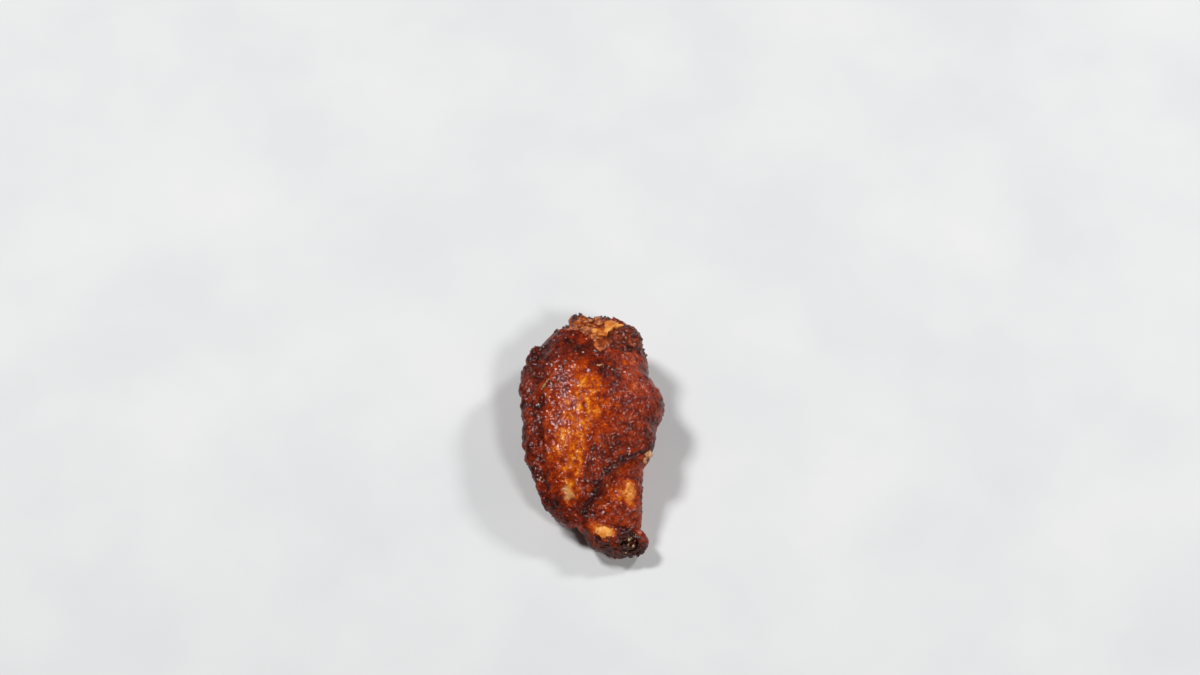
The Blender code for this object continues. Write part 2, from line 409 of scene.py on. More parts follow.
FOLD_SHADOW = ((29.6, 18.4, 17.6), (26.2, 15, 18.8), (22.4, 10.2, 18.6), (18.8, 7, 17.4),
               (15, 4.8, 15.6), (11, 2.6, 14), (8, 0.2, 11.8))
SHANK_AMBER = ((17, 6.4, 16), (13.6, 7.6, 15))
SHANK_YELLOW = ((17.6, 12.2, 15.6), (13.4, 12.8, 14))
PALE_SPOT = ((15.6, -8.6, 18.2), (13.8, -7.6, 17.2))
PALE_STREAK = ((51, -17, 24), (53.4, -14.6, 25.2))
KNUCKLE_CHAR = ((0.2, -1, 6), (-1.6, 4, 6.4), (-2.6, 9.7, 6.4), (-1.2, 15, 5.4))
KNUCKLE_YELLOW = ((3.8, 3.6, 11.8), (3.0, 5.6, 11.4))
KNUCKLE_AMBER = ((5.0, 0.6, 11.6), (3.8, 1.6, 11.4))
CRATER = ((1, 12.3, 10.7),)
CAP = ((71.6, 11.4, 25.6),)
CAP_CREASE = ((66.8, 5, 26), (66.4, 9, 26), (66.6, 13, 24.6), (67.6, 16.4, 21.6))
CAP_EDGE = ((72, 17, 20), (68, 18, 18.6))
# The window in the skin at the shoulder, in plan: along, across
WINDOW = ((63.2, 3.0), (66.0, 1.0), (68.2, 0.4), (71.0, -0.6), (73.2, -3.0), (73.6, -5.6),
          (75.0, -8.6), (76.2, -11.4), (88.0, -11.0), (88.0, 9.0), (76.0, 6.0), (72.0, 5.2),
          (69.6, 6.2), (67.6, 6.8), (65.0, 5.2))
# Breaks in the crust that show the bone: along, across, up, half sizes across, along, up
OPENINGS = (
    (79.4, 8.2, 25.4, 4.8, 5.2, 4.6),
    (2.6, 4.4, 12.6, 3.4, 2.5, 2.3),
    (-0.4, 12.6, 8.4, 3.2, 2.8, 2.8),
    (0.6, 15.2, 6.8, 1.9, 2.4, 2.2),
)


def depth_in_window(places):
    """Signed distance to the edge of the window in plan: above 0 inside it."""
    plan = places[:, :2]
    edge = np.array((*WINDOW, WINDOW[0]))
    nearest = distance_to(plan, edge)
    inside = np.zeros(len(plan), dtype=bool)
    # A place is inside if a line from it along the wing crosses an odd number of edges
    for start, end in zip(edge[:-1], edge[1:]):
        run = end - start
        crosses = (start[1] > plan[:, 1]) != (end[1] > plan[:, 1])
        safe = run[1] if abs(run[1]) > 1e-9 else 1e-9
        crossing = start[0] + (plan[:, 1] - start[1]) * run[0] / safe
        inside ^= crosses & (plan[:, 0] < crossing)
    return np.where(inside, nearest, -nearest)


def torn_window(places, frayed):
    """How far inside the window a place lies, with a ragged edge."""
    return depth_in_window(places) + swell(places, 2.2) * 0.63 + frayed * 0.5


print("the window has", len(WINDOW), "corners, and the crust has", len(OPENINGS), "breaks")

# %% [markdown]
# ## Where the skin is rough, smooth or gone
#
# One noise all over would look like plaster. Each kind of relief has its own share of the
# surface: crags at the two cut ends, pebbles on the right flank and the rims, a smooth glaze in
# the golden middle, wrinkles on the shank. So we first work out those shares, from 0 to 1, for
# every vertex, and the relief then only multiplies by them.

# %% Shares of the surface
WING_END_ALONG = 84.0
KNUCKLE_CRAGS_END = 12.0
SHOULDER_CRAGS_START = 72.0
ALWAYS_CRAGGY = 0.25
FOLD_SLOPE = 0.72
FOLD_OFFSET = 8.5


def craggy(along):
    """How craggy the crust is: most at the two cut ends."""
    near_knuckle = np.clip(1.0 - along / KNUCKLE_CRAGS_END, 0.0, None)
    near_shoulder = np.clip(
        (along - SHOULDER_CRAGS_START) / (WING_END_ALONG - SHOULDER_CRAGS_START), 0.0, None)
    return np.minimum(1.0, ALWAYS_CRAGGY + near_knuckle + near_shoulder)


def slanted(places, degrees):
    """Places turned in plan, so that stretched noise runs at a slant."""
    turn = math.radians(degrees)
    along, across = places[:, 0], places[:, 1]
    return np.column_stack((along * math.cos(turn) - across * math.sin(turn),
                            along * math.sin(turn) + across * math.cos(turn), places[:, 2]))


def flank_share(places):
    """1 on the pebbled right flank, 0 on the golden left half."""
    return fade(places[:, 1] + swell(places, 9.0) * 5.0, -1.0, 9.0)


def shank_share(places):
    """1 on the bare shank below the fold."""
    below_fold = places[:, 1] - FOLD_SLOPE * places[:, 0] + FOLD_OFFSET
    return fade(below_fold, -1.0, 2.0) * (1.0 - fade(places[:, 0], 28.0, 34.0))


places = places_of(skin_mesh)
normals = normals_of(skin_mesh)
facing_up = fade(normals[:, 2], -0.2, 0.3)
waver = swell(places, 2.2) * 0.7
frayed = swell(places, 1.4, shift=6.0) * 0.8
in_window = torn_window(places, frayed)
window = fade(in_window, -0.2, 0.35) * facing_up
window_edge = fade(in_window, -2.0, -0.5) * facing_up * (1.0 - window)
rim = brush(places, RIM_LINE, 4.2, 1.6, waver)
fold = brush(places, FOLD_EDGE, 2.0, 1.0, waver)
golden = np.maximum.reduce([brush(places, path, 4.6, 2.6, waver * 2.0)
                            for path in (GOLDEN_BAND, GOLDEN_LEFT, GOLDEN_TOP)])
shank = shank_share(places)
flank = flank_share(places)
cap = brush(places, CAP, 6.2, 0.6, waver * 0.6)
crags = craggy(places[:, 0])
print("share of vertices in the window:", round(float((window > 0.5).mean()), 3))

# %% [markdown]
# ## Pebbles, crinkles and blisters
#
# Chicken skin shows the bumps of its feather follicles, a little over a millimetre apart and a
# fifth of a millimetre high. Frying shrinks the skin between them into crinkles and blows some
# spots up into blisters. The shank's skin is drawn into slanting wrinkles. A bump in the material
# alone would leave the outline smooth, so we gather a height for every vertex and move it along
# its normal at the end.

# %% Relief all over the skin
PEBBLE_SPACING = 1.15
PEBBLE_HEIGHT = 0.2
CRINKLE_SPACING = 2.2
CRINKLE_HEIGHT = 0.36
BLISTER_SPACING = 2.9
BLISTER_HEIGHT = 0.36
STREAK_HEIGHT = 0.26
WRINKLE_HEIGHT = 0.34

rise = swell(places, 7.0) * 0.55 + swell(places, 2.9) * 0.55 * crags
rise += swell(places, 1.5, shift=9.0) * 0.5 * np.clip(crags - ALWAYS_CRAGGY, 0.0, 1.0)

pebble, pebble_size = blebs(places, PEBBLE_SPACING)
pebble_share = np.clip(0.6 + 0.4 * flank + 0.3 * rim + 0.35 * fold - 0.4 * golden, 0.2, 1.1)
pebble_share *= (1.0 - 0.7 * window) * (1.0 - 0.4 * shank)
rise += (pebble * (0.35 + 0.65 * pebble_size) - 0.3) * PEBBLE_HEIGHT * pebble_share

crinkles = np.minimum(np.abs(swell(places, CRINKLE_SPACING, shift=15.0)) * 2.6, 1.0)
crinkle_share = np.clip(0.55 + 0.3 * flank + 0.3 * rim, 0.0, 1.0)
rise += (crinkles - 0.5) * CRINKLE_HEIGHT * crinkle_share * (1.0 - window)

blister, blister_size = blebs(places, BLISTER_SPACING, stretch=(1.35, 0.9, 1.0), shift=3.7)
blister_share = np.clip(0.5 + 0.4 * golden + 0.5 * rim - 0.35 * shank, 0.0, 1.0) * (1.0 - window)
rise += blister * fade(blister_size, 0.35, 0.8) * BLISTER_HEIGHT * blister_share

streaks = swell(slanted(places, 12.0), 1.5, stretch=(2.6, 0.9, 1.0), shift=5.1)
rise += streaks * STREAK_HEIGHT * golden * (1.0 - window)
wrinkles = 1.0 - np.abs(swell(slanted(places, -38.0), 2.3, stretch=(2.6, 0.8, 1.0), shift=1.3)) * 2.2
rise += (wrinkles - 0.5) * WRINKLE_HEIGHT * shank * fade(places[:, 0], 4.0, 8.0)
print("relief so far from", round(rise.min(), 2), "to", round(rise.max(), 2), "mm")

# %% [markdown]
# ## Rims, creases and the window
#
# The rims are lumpy, and shallow creases run beside them and under the fold. In the window the
# skin is gone, so the surface drops by the skin's thickness and shows the fibres of the meat, and
# the torn edge curls up a little. Cutting the window out would leave a hole to fill, so we only
# lower it. Last, the underside is pressed flat where it meets the table.

# %% Relief of the named places
SKIN_THICKNESS = 0.9
TABLE_CONTACT = 0.2

rim_lumps = swell(places, 4.2, stretch=(0.7, 1.0, 1.0), shift=2.0)
rise += rim * (rim_lumps * 0.75 - 0.15)
crease_breaks = fade(swell(places, 5.0, shift=3.0), -0.3, 0.15)
rise -= brush(places, RIM_CREASE, 0.7, 0.8, waver * 1.8) * 0.8 * crease_breaks
rise -= brush(places, FOLD_SHADOW, 0.6, 0.6, waver * 0.4) * 0.7
rise += fold * (0.15 + swell(places, 1.9, shift=11.0) * 0.45)
rise += cap * (0.1 + swell(places, 1.3, shift=12.0) * 0.4)
rise -= brush(places, CAP_CREASE, 0.55, 0.45, waver * 0.5) * 0.45
rise -= brush(places, PALE_SPOT, 1.0, 1.2) * 0.2

fibres = swell(slanted(places, 24.0), 0.9, stretch=(3.4, 0.8, 1.0), shift=2.2)
rise += window_edge * (0.35 + frayed * 0.3)
rise += window * (fibres * 0.4 - SKIN_THICKNESS)

places += normals * rise[:, None]
places[:, 2] = np.where(places[:, 2] < TABLE_CONTACT, 0.0, places[:, 2])
put_places(skin_mesh, places)
print("relief from", round(rise.min(), 2), "to", round(rise.max(), 2), "mm")

# %% [markdown]
# ## Breaks in the crust
#
# At the knuckle and the shoulder the bone shows through ragged breaks. Faces could be deleted
# there, but that would leave open, paper-thin edges. A Boolean leaves a wall of crust round each
# break. Its cutter is made of uneven balls, melted into one clean, closed shape.

# %% Cut the breaks
CUTTER_VOXEL = 0.35


def ragged(mesh, size, height):
    """Uneven bumps pushed along the normals of a mesh."""
    where = places_of(mesh)
    put_places(mesh, where + normals_of(mesh) * (swell(where, size) * height)[:, None])
    return mesh


cutter_mesh = fused("cutter", [balls("breaks", OPENINGS, detail=3)], CUTTER_VOXEL, smooth_rounds=2)
cutter = new_object("cutter", ragged(cutter_mesh, size=1.6, height=0.9))
skin = new_object("fried_skin_and_meat", skin_mesh)
cut = skin.modifiers.new("breaks", "BOOLEAN")
cut.operation = "DIFFERENCE"
cut.solver = "EXACT"
cut.object = cutter
skin_mesh = worked_in(skin)
bpy.data.objects.remove(cutter)
skin = smooth_object("fried_skin_and_meat", skin_mesh)
print("skin:", triangles(skin_mesh), "triangles")

# %% [markdown]
# ## The bone
#
# The humerus runs through the meat. Only its ends show: two knobs at the knuckle and the round
# head at the shoulder, where a cap of cartilage has turned yellow-orange in the fryer. It is made
# as the meat is, from sections and balls, but coarser, because so little of it shows.

# %% Bone
BONE_VOXEL = 0.5
# along, left side, right side, underside, top
BONE = (
    (2.0, 5.4, 12.6, 4.4, 9.6),
    (6.4, 4.0, 14.0, 3.8, 11.0),
    (11.0, 5.6, 12.6, 4.6, 10.8),
    (20.0, 5.4, 11.4, 6.0, 12.0),
    (40.0, 4.2, 10.4, 9.2, 15.4),
    (58.0, 1.4, 9.6, 11.2, 18.2),
    (68.0, -3.2, 11.4, 11.8, 20.6),
    (74.0, -4.6, 12.2, 12.2, 21.4),
    (77.6, -2.0, 10.4, 13.6, 20.6),
)
# along, across, up, then half sizes across, along and up
BONE_LUMPS = (
    (4.3, 4.6, 7.1, 4.9, 4.8, 5.0),
    (2.9, 12.5, 6.7, 3.3, 3.5, 3.5),
    (76.6, 6.2, 17.6, 5.5, 4.6, 5.9),
    (73.6, -1.6, 16.4, 4.2, 4.0, 4.2),
)
bone_mesh = fused("bone_masses", [rounded("shaft", BONE, levels=2), balls("knobs", BONE_LUMPS)],
                  BONE_VOXEL, smooth_rounds=3)
bone_places = places_of(bone_mesh)
bone_rise = swell(bone_places, 2.4) * 0.22 + swell(bone_places, 0.9) * 0.16
put_places(bone_mesh, bone_places + normals_of(bone_mesh) * bone_rise[:, None])
bone = smooth_object("humerus", bone_mesh)
print("bone:", triangles(bone_mesh), "triangles")

# %% [markdown]
# ## Laying small things on the skin
#
# The last details lie on the skin. Their heights could be typed in, but then they would float or
# sink with every change of the relief. So we drop a ray on the skin from above and build each
# detail where the ray lands. A torn strand of meat is a long thin ball that follows the skin
# under it. A flake of char is a small grid, torn and curled.

# %% Helpers for small pieces
DROP_FROM = 60.0
EDGE_HEIGHT = 14.0
FLAKE_ROOT_DEPTH = 0.3


def tree_of(obj):
    """A search tree of an object's faces, for rays and nearest points."""
    bpy.context.view_layer.update()
    return BVHTree.FromObject(obj, bpy.context.evaluated_depsgraph_get())


skin_tree = tree_of(skin)


def on_skin(along, across, lift=0.0, tree=skin_tree):
    """The skin above this place of the table, or its nearest edge, raised by some millimetres."""
    hit = tree.ray_cast(point(along, across, DROP_FROM), Vector((0.0, 0.0, -1.0)))[0]
    if hit is None:
        hit = tree.find_nearest(point(along, across, EDGE_HEIGHT))[0]
    return hit + Vector((0.0, 0.0, lift * MM))


def headings(degrees):
    """Unit vectors ahead and to the side, for a heading turned from along towards across."""
    turn = math.radians(degrees)
    return Vector((math.sin(turn), math.cos(turn), 0.0)), Vector((math.cos(turn), -math.sin(turn), 0.0))


def strewn(draw, along, across, heading, spread, scatter, squeeze):
    """A place and a heading drawn at random round the middle of a group."""
    return (along + draw.uniform(-scatter, scatter) * squeeze,
            across + draw.uniform(-scatter, scatter), heading + draw.uniform(-spread, spread))


def strand(bm, along, across, heading, length, radius, lift, seed):
    """A wavy strand that follows the skin and lifts off it at both ends."""
    ahead, side = headings(heading)
    for vert in bmesh.ops.create_icosphere(bm, subdivisions=3, radius=1.0)["verts"]:
        share, sideways, height = vert.co
        waver = math.sin(share * 4.0 + seed) * radius * 0.7
        step = ahead * (share * length / 2) + side * waver
        spot = on_skin(along + step.y, across + step.x, lift * share * share)
        vert.co = spot + (side * sideways + Vector((0.0, 0.0, height))) * radius * MM


def flake(bm, along, across, heading, length, width, curl, seed):
    """A torn scale of crust that grows from its root in the skin and curls up."""
    ahead, side = headings(heading)
    root = on_skin(along, across, -FLAKE_ROOT_DEPTH)
    for vert in bmesh.ops.create_grid(bm, x_segments=4, y_segments=5, size=0.5)["verts"]:
        sideways, out = vert.co.x, vert.co.y + 0.5
        torn = 0.75 + 0.6 * noise.noise(Vector((sideways * 3.0, out * 2.0, seed)))
        reach = out * length * (0.8 + 0.5 * noise.noise(Vector((sideways * 4.0, seed, 0.0))))
        rise = out * length * curl + 0.35 * noise.noise(Vector((sideways * 3.0, out * 3.0, seed + 7.0)))
        vert.co = root + (side * (sideways * width * torn * (1.0 - 0.35 * out)) + ahead * reach
                          + Vector((0.0, 0.0, rise))) * MM


print("skin in the middle of the muscle is", round(on_skin(50.0, 0.0).z / MM, 1), "mm up")

# %% [markdown]
# ## Torn meat at the shoulder
#
# Where the skin has drawn back, the shoulder shows the ends of muscle bundles: short, wavy
# strands about a millimetre thick, some standing up. A bump in the material would look flat here,
# because real strands shade each other. We lay them in bundles by a seeded draw, which gives the
# same meat each time, and melt them together, as cooked meat is.

# %% Torn meat
FINE_VOXEL = 0.2
# along, across, heading, spread of headings, scatter, length, radius, lift, count
TORN_BUNDLES = (
    (76.2, -6.4, -75.0, 18.0, 2.0, 4.2, 0.5, 0.6, 9),
    (73.6, -1.4, -38.0, 26.0, 1.8, 4.4, 0.6, 0.4, 10),
    (78.6, 0.2, -60.0, 44.0, 2.4, 3.0, 0.62, 1.1, 13),
    (70.4, 1.6, -28.0, 22.0, 1.0, 3.4, 0.5, 0.3, 6),
)
strands = bmesh.new()
draw = random.Random(11)
for along, across, heading, spread, scatter, length, radius, lift, count in TORN_BUNDLES:
    for number in range(count):
        strand(strands, *strewn(draw, along, across, heading, spread, scatter, squeeze=0.7),
               length * draw.uniform(0.6, 1.2), radius * draw.uniform(0.7, 1.3),
               lift * draw.uniform(0.0, 2.0), number * 1.7)
strand_mesh = worked_in(mesh_object("strands", strands))
torn_mesh = ragged(fused("torn_meat", [strand_mesh], FINE_VOXEL, smooth_rounds=3), size=1.1, height=0.24)
torn_meat = smooth_object("torn_meat", torn_mesh)
print("torn meat:", triangles(torn_mesh), "triangles")

# %% [markdown]
# ## Cartilage at the shoulder joint
#
# A bright crescent of cartilage follows the upper edge of the dark cap. A lower mass behind it
# goes down to the bone, so that the crescent is no loose rod from the shoulder's end. Small
# nodules sit in the meat beside it, and three flat ones make the patch of fat in the window's
# lower notch. A tube along a short curve keeps the crescent's width and bend as plain numbers,
# and noise then makes it uneven.

# %% Cartilage pieces
# along, across, up, radius
CRESCENT = (
    (71.4, 4.4, 24.9, 0.7),
    (72.6, 4.7, 24.7, 1.15),
    (74.6, 5.8, 24.3, 1.3),
    (76.2, 7.8, 23.6, 1.15),
    (77.0, 10.0, 22.8, 0.85),
    (77.4, 12.2, 21.8, 0.4),
)
# along, across, lift off the skin, half sizes across, along and up
NODULES = (
    (73.8, 1.2, 0.1, 1.25, 1.1, 0.9),
    (72.2, 2.9, 0.1, 0.85, 0.75, 0.7),
    (71.6, 0.7, 0.1, 0.5, 0.4, 0.4),
    (67.2, 1.6, 0.0, 1.5, 1.3, 0.45),
    (66.2, 3.4, 0.0, 2.1, 1.5, 0.4),
    (65.2, 2.6, 0.0, 1.3, 0.9, 0.4),
)
# along, across, up, then half sizes: the cartilage behind the crescent, down to the bone
CARTILAGE_CAP = (77.1, 8.2, 20.6, 3.8, 1.5, 2.4)
laid = [(along, across, on_skin(along, across, lift).z / MM, *halves)
        for along, across, lift, *halves in NODULES]
crescent_parts = [roll("arc", CRESCENT), balls("nodules", [CARTILAGE_CAP, *laid], detail=3)]
crescent_mesh = fused("crescent", crescent_parts, FINE_VOXEL, smooth_rounds=2)
crescent_mesh = ragged(crescent_mesh, size=1.3, height=0.34)
crescent = smooth_object("shoulder_cartilage", crescent_mesh)
print("cartilage:", triangles(crescent_mesh), "triangles")

# %% [markdown]
# ## Char flakes
#
# The thin edges of the skin have burnt to ragged flakes: a tuft at the very top, a few spikes at
# the left end of the window, and a crumbly fringe on the cap and under the knuckle. They are
# thinner than the voxels of the skin, so they can't be part of it. Each flake is a small grid
# instead, and a Solidify modifier gives all of them their thickness.

# %% Char flakes
FLAKE_THICKNESS = 0.3
# along, across, heading, spread of headings, scatter, length, width, curl, count
FLAKE_GROUPS = (
    (80.6, -3.4, 0.0, 50.0, 2.8, 2.0, 2.6, 0.3, 9),
    (77.0, -8.6, -50.0, 50.0, 0.8, 1.5, 1.6, 0.2, 4),
    (80.4, 4.0, 20.0, 60.0, 2.4, 1.5, 1.8, 0.15, 7),
    (71.0, 16.6, 80.0, 50.0, 3.0, 1.2, 1.5, 0.1, 6),
    (74.6, -8.0, -160.0, 60.0, 3.0, 1.4, 1.8, 0.15, 7),
    (0.4, 12.4, 180.0, 70.0, 3.2, 1.5, 1.4, 0.1, 9),
    (0.8, 4.0, 180.0, 70.0, 3.0, 1.3, 1.5, 0.1, 8),
)
flakes = bmesh.new()
draw = random.Random(23)
for along, across, heading, spread, scatter, length, width, curl, count in FLAKE_GROUPS:
    for number in range(count):
        flake(flakes, *strewn(draw, along, across, heading, spread, scatter, squeeze=0.4),
              length * draw.uniform(0.6, 1.2), width * draw.uniform(0.6, 1.2),
              curl * draw.uniform(0.3, 1.5), number * 3.1 + along)
char_flakes = mesh_object("char_flakes", flakes)
thickness = char_flakes.modifiers.new("thickness", "SOLIDIFY")
thickness.thickness = FLAKE_THICKNESS * MM
thickness.offset = 0.0
soften = char_flakes.modifiers.new("soften", "SUBSURF")
soften.levels = soften.render_levels = 1
char_flakes = new_object("char_flakes", worked_in(char_flakes))
print("flakes:", triangles(char_flakes.data), "triangles")

# %% [markdown]
# ## Crumbs of crust
#
# Crumbs of crust stick to the skin, most of all on the rims, the fold and the two ends. Hair or
# geometry nodes could scatter them. A weighted draw in code does the same in two lines, and the
# weights are the brushes that we have already. A crumb is a ball of only twenty faces, because
# there are hundreds of them.

# %% Crumbs of crust
CRUMB_COUNT = 300
CRUMB_SIZES = (0.16, 0.42)
# How far a crumb's middle stands off the skin, as a share of its size
CRUMB_LIFT = 0.3


def crumb(bm, spot, size, draw):
    """A small uneven lump: a ball of twenty faces, squashed and turned at random."""
    turned = Euler([draw.uniform(0.0, math.tau) for _ in range(3)]).to_matrix().to_4x4()
    wide, high = (size * draw.uniform(0.5, 0.9) for _ in range(2))
    sizes = Matrix.Diagonal((size * MM, wide * MM, high * MM, 1.0))
    bmesh.ops.create_icosphere(
        bm, subdivisions=1, radius=1.0, matrix=Matrix.Translation(spot) @ turned @ sizes)


draw = random.Random(5)
skin_places = places_of(skin_mesh)
skin_normals = normals_of(skin_mesh)
crumb_odds = (0.15 + 0.5 * brush(skin_places, RIM_LINE, 5.0, 2.0)
              + 0.5 * brush(skin_places, FOLD_EDGE, 2.6, 1.4)
              + 0.6 * brush(skin_places, CAP_EDGE, 2.2, 1.2)
              + 1.4 * brush(skin_places, KNUCKLE_CHAR, 5.0, 2.0)
              + 0.2 * flank_share(skin_places))
crumb_odds *= (skin_places[:, 2] > 1.5) * (skin_normals[:, 2] > -0.5)
chosen = draw.choices(range(len(skin_places)), weights=crumb_odds, k=CRUMB_COUNT)
crumbs = bmesh.new()
for index in chosen:
    size = draw.uniform(*CRUMB_SIZES)
    crumb(crumbs, point(*(skin_places[index] + skin_normals[index] * size * CRUMB_LIFT)), size, draw)
crust_crumbs = mesh_object("crust_crumbs", crumbs)
print("crumbs:", triangles(crust_crumbs.data), "triangles")

# %% [markdown]
# ## Scraps of skin and charred curls
#
# One limp scrap of skin with a short tail hangs out at the right end of the fold, and a small tab
# stands off the left rim. The charred rim of the knuckle's crater ends in a little hook, and
# burnt curls of crust lie in the crater. They could be pulled out of the skin by sculpting, but
# their colour and gloss differ from it, so they are pieces of their own: bent tubes with uneven
# radii, melted together and roughened.

# %% Scraps and curls
CURL_VOXEL = 0.22
# along, across, up, radius
FOLD_SCRAP = ((30.6, 16.8, 17.7, 0.9), (29.8, 18.2, 17.9, 1.3), (29.2, 19.6, 17.5, 1.2),
              (28.8, 20.6, 17.0, 0.6))
SCRAP_TAIL = ((29.4, 18.0, 17.6, 1.1), (27.8, 18.2, 17.3, 1.1), (26.2, 17.8, 16.7, 0.6))
RIM_TAB = ((21.6, -16.8, 15.6, 0.4), (20.4, -17.6, 15.4, 0.8), (19.2, -17.8, 15.0, 0.8),
           (18.4, -17.2, 14.8, 0.4))
CRATER_HOOK = ((2.6, 16.4, 8.4, 0.8), (1.2, 17.6, 8.2, 0.9), (-0.6, 17.9, 7.2, 0.95),
               (-1.9, 16.9, 5.8, 0.9), (-2.4, 15.2, 4.9, 0.7))
CRATER_CURLS = (
    ((2.4, 9.6, 9.6, 0.8), (1.6, 11.4, 9.0, 1.3), (1.9, 13.2, 9.2, 1.2), (2.6, 14.8, 9.2, 0.7)),
    ((-0.4, 10.2, 8.2, 0.9), (-1.0, 12.0, 7.4, 1.4), (-0.6, 13.8, 7.0, 1.3), (0.4, 15.2, 6.8, 0.9)),
    ((-1.8, 9.8, 6.6, 0.9), (-2.6, 12.0, 5.6, 1.2), (-2.4, 14.2, 5.0, 0.9)),
)
scrap_rolls = [roll("scrap", stations) for stations in (FOLD_SCRAP, SCRAP_TAIL, RIM_TAB)]
scrap_mesh = ragged(fused("scraps", scrap_rolls, FINE_VOXEL, smooth_rounds=1), size=1.2, height=0.7)
scraps = smooth_object("skin_scraps", scrap_mesh)
curls = [roll("curl", stations) for stations in (CRATER_HOOK, *CRATER_CURLS)]
hook_mesh = ragged(fused("hook", curls, CURL_VOXEL, smooth_rounds=1), size=0.9, height=0.45)
hook = smooth_object("charred_hook", hook_mesh)
print("scraps and curls:", triangles(scrap_mesh) + triangles(hook_mesh), "triangles")

# %% [markdown]
# ## Pale specks
#
# A few specks of pale, rendered fat lie on the skin, and more of them in the knuckle's crater.
# The eye finds them at once, so they are placed one by one and not drawn at random. Those in the
# crater rest on the charred curls, so we drop the rays for them on the curls.

# %% Pale specks
SPECK_LIFT = 0.25
# along, across, size
PALE_SPECKS = (
    (62.8, -2.8, 0.42), (57.3, 2.7, 0.5), (57.6, 3.3, 0.42), (57.5, 2.1, 0.34), (56.1, 7.1, 0.34),
    (52.1, -15.6, 0.45), (52.9, -15.0, 0.4), (53.6, -14.4, 0.34), (20.4, -16.9, 0.5),
    (19.6, -17.2, 0.45), (63.9, 2.6, 0.3), (66.9, 1.6, 0.34), (42.2, 2.2, 0.26), (30.8, -9.0, 0.26),
)
CRATER_SPECKS = (
    (1.9, 14.4, 1.0), (1.5, 13.7, 0.8), (0.9, 12.7, 0.8), (1.4, 11.6, 0.5), (-0.4, 12.4, 0.5),
    (-0.9, 14.1, 0.6), (-2.6, 11.6, 0.4),
)
specks = bmesh.new()
for rows, tree in ((PALE_SPECKS, skin_tree), (CRATER_SPECKS, tree_of(hook))):
    for along, across, size in rows:
        crumb(specks, on_skin(along, across, size * SPECK_LIFT, tree), size, draw)
pale_specks = mesh_object("pale_specks", specks)
print("pale specks:", triangles(pale_specks.data), "triangles")

# %% [markdown]
# ## Browning and painted shade, on the vertices
#
# Frying browns skin by how thin it is and how far it stands out. An image texture would have to
# be unwrapped first, and its browning could slip off the relief. So we paint on the vertices that
# we sculpted: one number for browning, from 0, pale, over golden and red-brown, to 1, char. The
# same number also holds painted shade: darker along the crease beside the left rim and the crease
# under the cap, and darker between the pebbles. Three more mark bare meat and dry crust, pale fat
# under the glaze, and the pebbles' height, which the material turns into painted shade in the pits.

# %% Areas of browning
# path, radius, softness, how far the edge wavers, what it adds to the browning;
# on the two creases it adds painted shade
BROWNED_AND_SHADED_AREAS = (
    (RIM_LINE, 4.0, 2.4, 1.7, 0.11),
    # Painted shade: the crease beside the left rim is painted darker
    (RIM_CREASE, 0.9, 1.3, 1.4, 0.16),
    (RIGHT_EDGE, 5.0, 3.4, 1.0, 0.09),
    (DARK_SHOULDER, 5.0, 3.0, 1.0, 0.1),
    (DARK_NAPE, 3.4, 2.2, 1.0, 0.12),
    (LOBE_TIP, 4.4, 2.6, 1.0, 0.03),
    (FOLD_EDGE, 1.2, 0.9, 0.4, 0.28),
    (FOLD_SHADOW, 1.2, 1.0, 0.6, -0.06),
    (KNUCKLE_CHAR, 4.4, 2.4, 1.0, 0.2),
    (CRATER, 3.4, 1.2, 0.5, 0.3),
    (CAP, 6.6, 0.9, 0.4, 0.14),
    # Painted shade: the crease under the cap is painted darker
    (CAP_CREASE, 0.9, 0.6, 0.4, 0.14),
    (CAP_EDGE, 1.6, 1.0, 1.0, 0.16),
    (PALE_SPOT, 2.4, 2.4, 1.0, -0.26),
    (GOLDEN_BAND, 4.2, 3.0, 1.4, -0.26),
    (GOLDEN_LEFT, 3.4, 3.0, 1.8, -0.14),
    (GOLDEN_RIGHT, 2.8, 2.4, 1.2, -0.14),
    (GOLDEN_TOP, 3.4, 2.6, 1.4, -0.14),
    (RED_SHOULDER, 4.2, 3.2, 1.0, -0.08),
    (SHANK_AMBER, 2.8, 2.2, 1.4, -0.14),
    (SHANK_YELLOW, 1.9, 1.3, 0.6, -0.48),
    (KNUCKLE_YELLOW, 1.9, 1.2, 0.6, -0.6),
    (KNUCKLE_AMBER, 1.6, 1.4, 0.6, -0.32),
)
# path, radius, softness, how far the edge wavers, share of pale fat
PALE_FAT_AREAS = (
    (PALE_SPOT, 0.4, 1.8, 1.1, 0.85),
    (PALE_STREAK, 0.3, 0.5, 0.4, 0.6),
    (SHANK_YELLOW, 1.1, 1.0, 0.4, 0.2),
    (KNUCKLE_YELLOW, 1.0, 0.8, 0.4, 0.3),
)


def store(mesh, name, values):
    """Keeps one number per vertex where a material can read it."""
    layer = mesh.attributes.new(name, "FLOAT", "POINT")
    layer.data.foreach_set("value", np.clip(values, 0.0, 1.0).astype(np.float32))


def inside_openings(places, grow):
    """1 where a place lies within the breaks in the crust, grown by some millimetres."""
    nearest = np.full(len(places), 9.0)
    for along, across, up, half_across, half_along, half_up in OPENINGS:
        halves = np.array((half_along, half_across, half_up)) + grow
        nearest = np.minimum(nearest, np.linalg.norm((places - (along, across, up)) / halves, axis=1))
    return 1.0 - fade(nearest, 0.96, 1.06)


print(len(BROWNED_AND_SHADED_AREAS), "areas of browning and", len(PALE_FAT_AREAS), "of pale fat")

# %% Paint the skin
SKIN_BROWNING = 0.52
MEAT_BROWNING = 0.42

places = places_of(skin_mesh)
normals = normals_of(skin_mesh)
facing_up = fade(normals[:, 2], -0.2, 0.3)
waver = swell(places, 2.2) * 0.9 + swell(places, 5.0, shift=4.0) * 1.2
frayed = swell(places, 1.4, shift=6.0) * 0.8
window = fade(torn_window(places, frayed), -0.1, 0.3) * facing_up
pebble, pebble_size = blebs(places, PEBBLE_SPACING)

